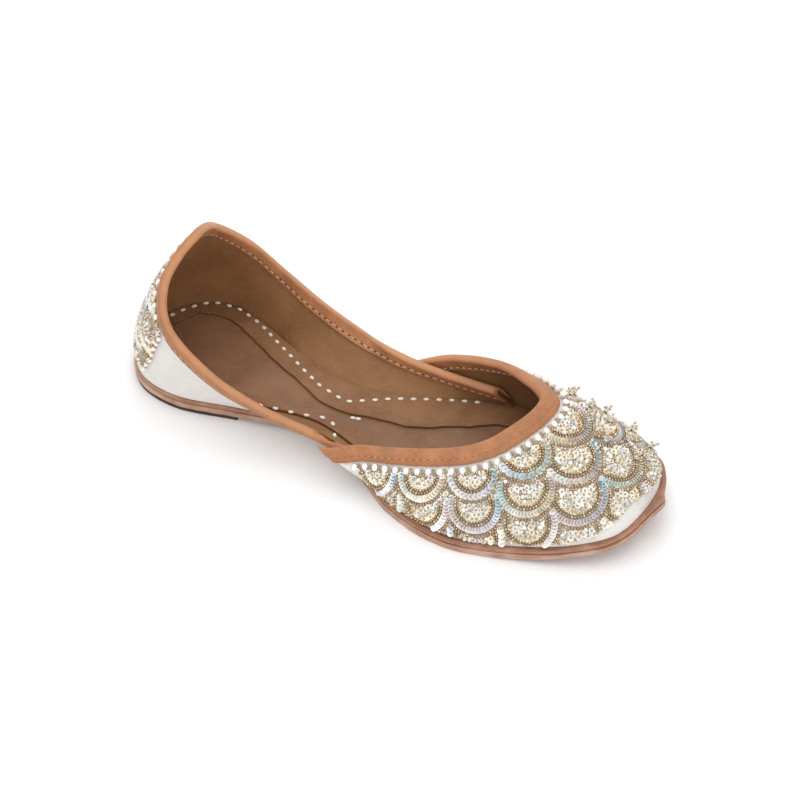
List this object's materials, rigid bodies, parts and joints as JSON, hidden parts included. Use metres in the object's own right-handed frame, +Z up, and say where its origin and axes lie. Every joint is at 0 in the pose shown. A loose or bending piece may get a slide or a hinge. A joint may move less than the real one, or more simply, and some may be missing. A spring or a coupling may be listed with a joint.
{
  "type": "mojari shoe",
  "caption": "Low flat slip-on shoe with a wide throat, a beaded vamp over one-piece quarters, bound top edges, and a layered leather sole with a small upturned toe.",
  "frame": {"origin": "on the floor, under the middle of the whole shoe's box", "axes": "+X towards the toe, +Y to the medial side, +Z up from the floor"},
  "size_m": [0.2466, 0.093, 0.0736],
  "materials": {
    "sole_edge_leather": "raw vegetable-tanned leather, cut edges with layers showing, matte",
    "heel_lift_leather": "dark stained leather, worn matte",
    "footbed_leather": "smooth brown leather, soft satin",
    "lining_leather": "tan-brown lining leather, fine grain, satin",
    "upper_leather": "off-white smooth leather, soft matte",
    "binding_leather": "tan leather binding, stitched, satin",
    "beadwork": "pearls, gold seed beads and iridescent sequins on a cream ground, glossy"
  },
  "bodies": {
    "root": {"outsole": "sole_edge_leather", "midsole": "sole_edge_leather", "heel_lift": "heel_lift_leather", "insole": "footbed_leather", "lining_margin": "lining_leather", "upper_quarters": "upper_leather", "upper_vamp": "upper_leather", "quarter_binding": "binding_leather", "vamp_binding": "binding_leather", "vamp_beadwork": "beadwork", "heel_beadwork": "beadwork"}
  },
  "joints": []
}
